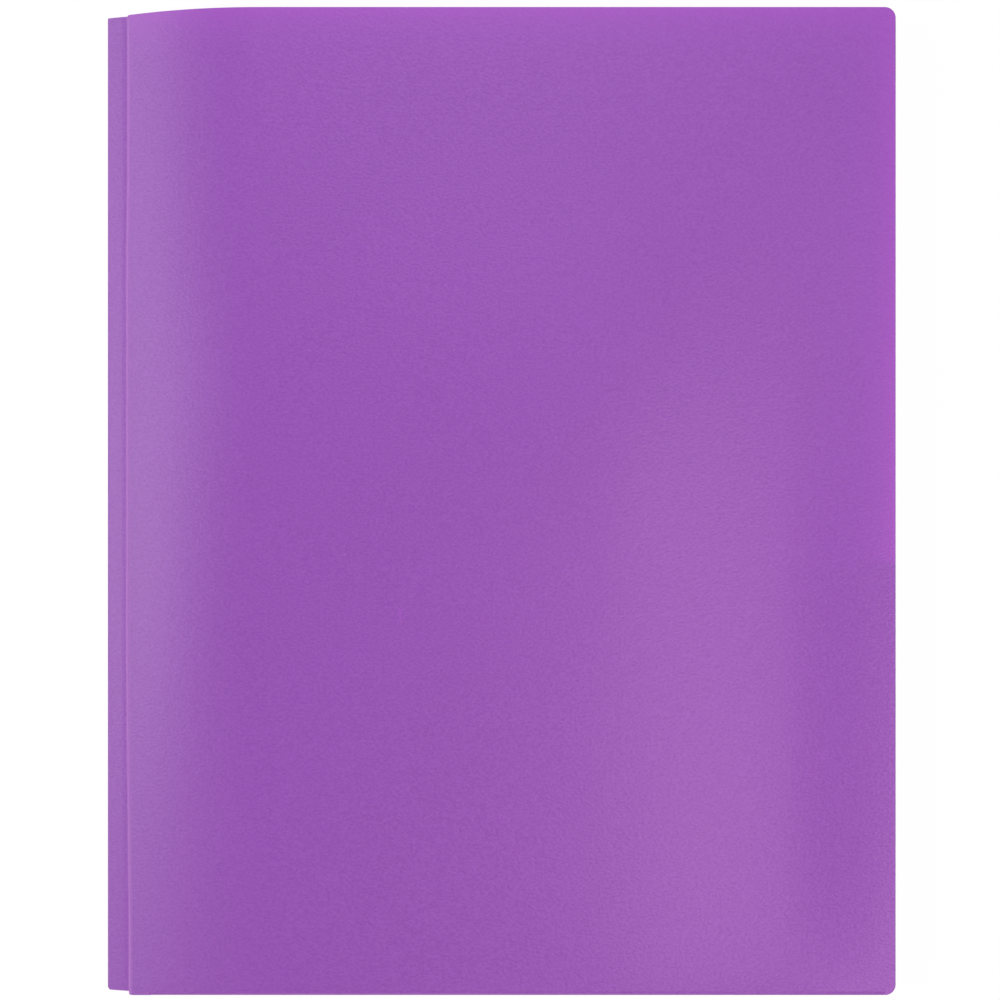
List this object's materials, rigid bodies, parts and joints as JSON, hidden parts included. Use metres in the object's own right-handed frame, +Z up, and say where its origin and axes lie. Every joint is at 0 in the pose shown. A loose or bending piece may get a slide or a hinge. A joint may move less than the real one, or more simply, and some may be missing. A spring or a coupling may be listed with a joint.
{
  "type": "file folder",
  "caption": "Folder of translucent polypropylene sheet with hinged covers, a spine strip and a welded pocket inside each cover.",
  "frame": {"origin": "middle of the underside of the closed folder, on the surface it lies on", "axes": "+Z up through the closed covers, +Y towards the top edge along the spine, +X from the spine to the fore edge"},
  "size_m": [0.235, 0.2922, 0.0115],
  "materials": {
    "cover_sheet": "fine-grained matte polypropylene, slightly translucent purple",
    "pocket_sheet": "the same sheet's smoother inner face",
    "crease": "pressed and slightly whitened",
    "weld": "fused spots, whitened and glossier"
  },
  "bodies": {
    "back": {"back_cover": "cover_sheet", "back_crease": "crease", "back_pocket_bottom": "pocket_sheet", "back_pocket_side": "pocket_sheet", "back_pocket_flap": "pocket_sheet", "back_pocket_tab": "pocket_sheet", "back_weld_1": "weld", "back_weld_2": "weld", "back_weld_3": "weld", "back_weld_4": "weld"},
    "spine": {"spine_strip": "cover_sheet", "front_crease": "crease"},
    "front": {"front_cover": "cover_sheet", "front_pocket_bottom": "pocket_sheet", "front_pocket_side": "pocket_sheet", "front_pocket_flap": "pocket_sheet", "front_pocket_tab": "pocket_sheet", "front_weld_1": "weld", "front_weld_2": "weld", "front_weld_3": "weld", "front_weld_4": "weld"}
  },
  "joints": [
    {"name": "spine_fold", "type": "hinge", "parent": "back", "child": "spine", "pos_m": [-0.1166, 0, 0.0009], "axis": [0, -1, 0], "range_deg": [0, 100]},
    {"name": "cover_fold", "type": "hinge", "parent": "spine", "child": "front", "pos_m": [-0.11138, 0, 0.00328], "axis": [0, -1, 0], "range_deg": [0, 74]}
  ]
}
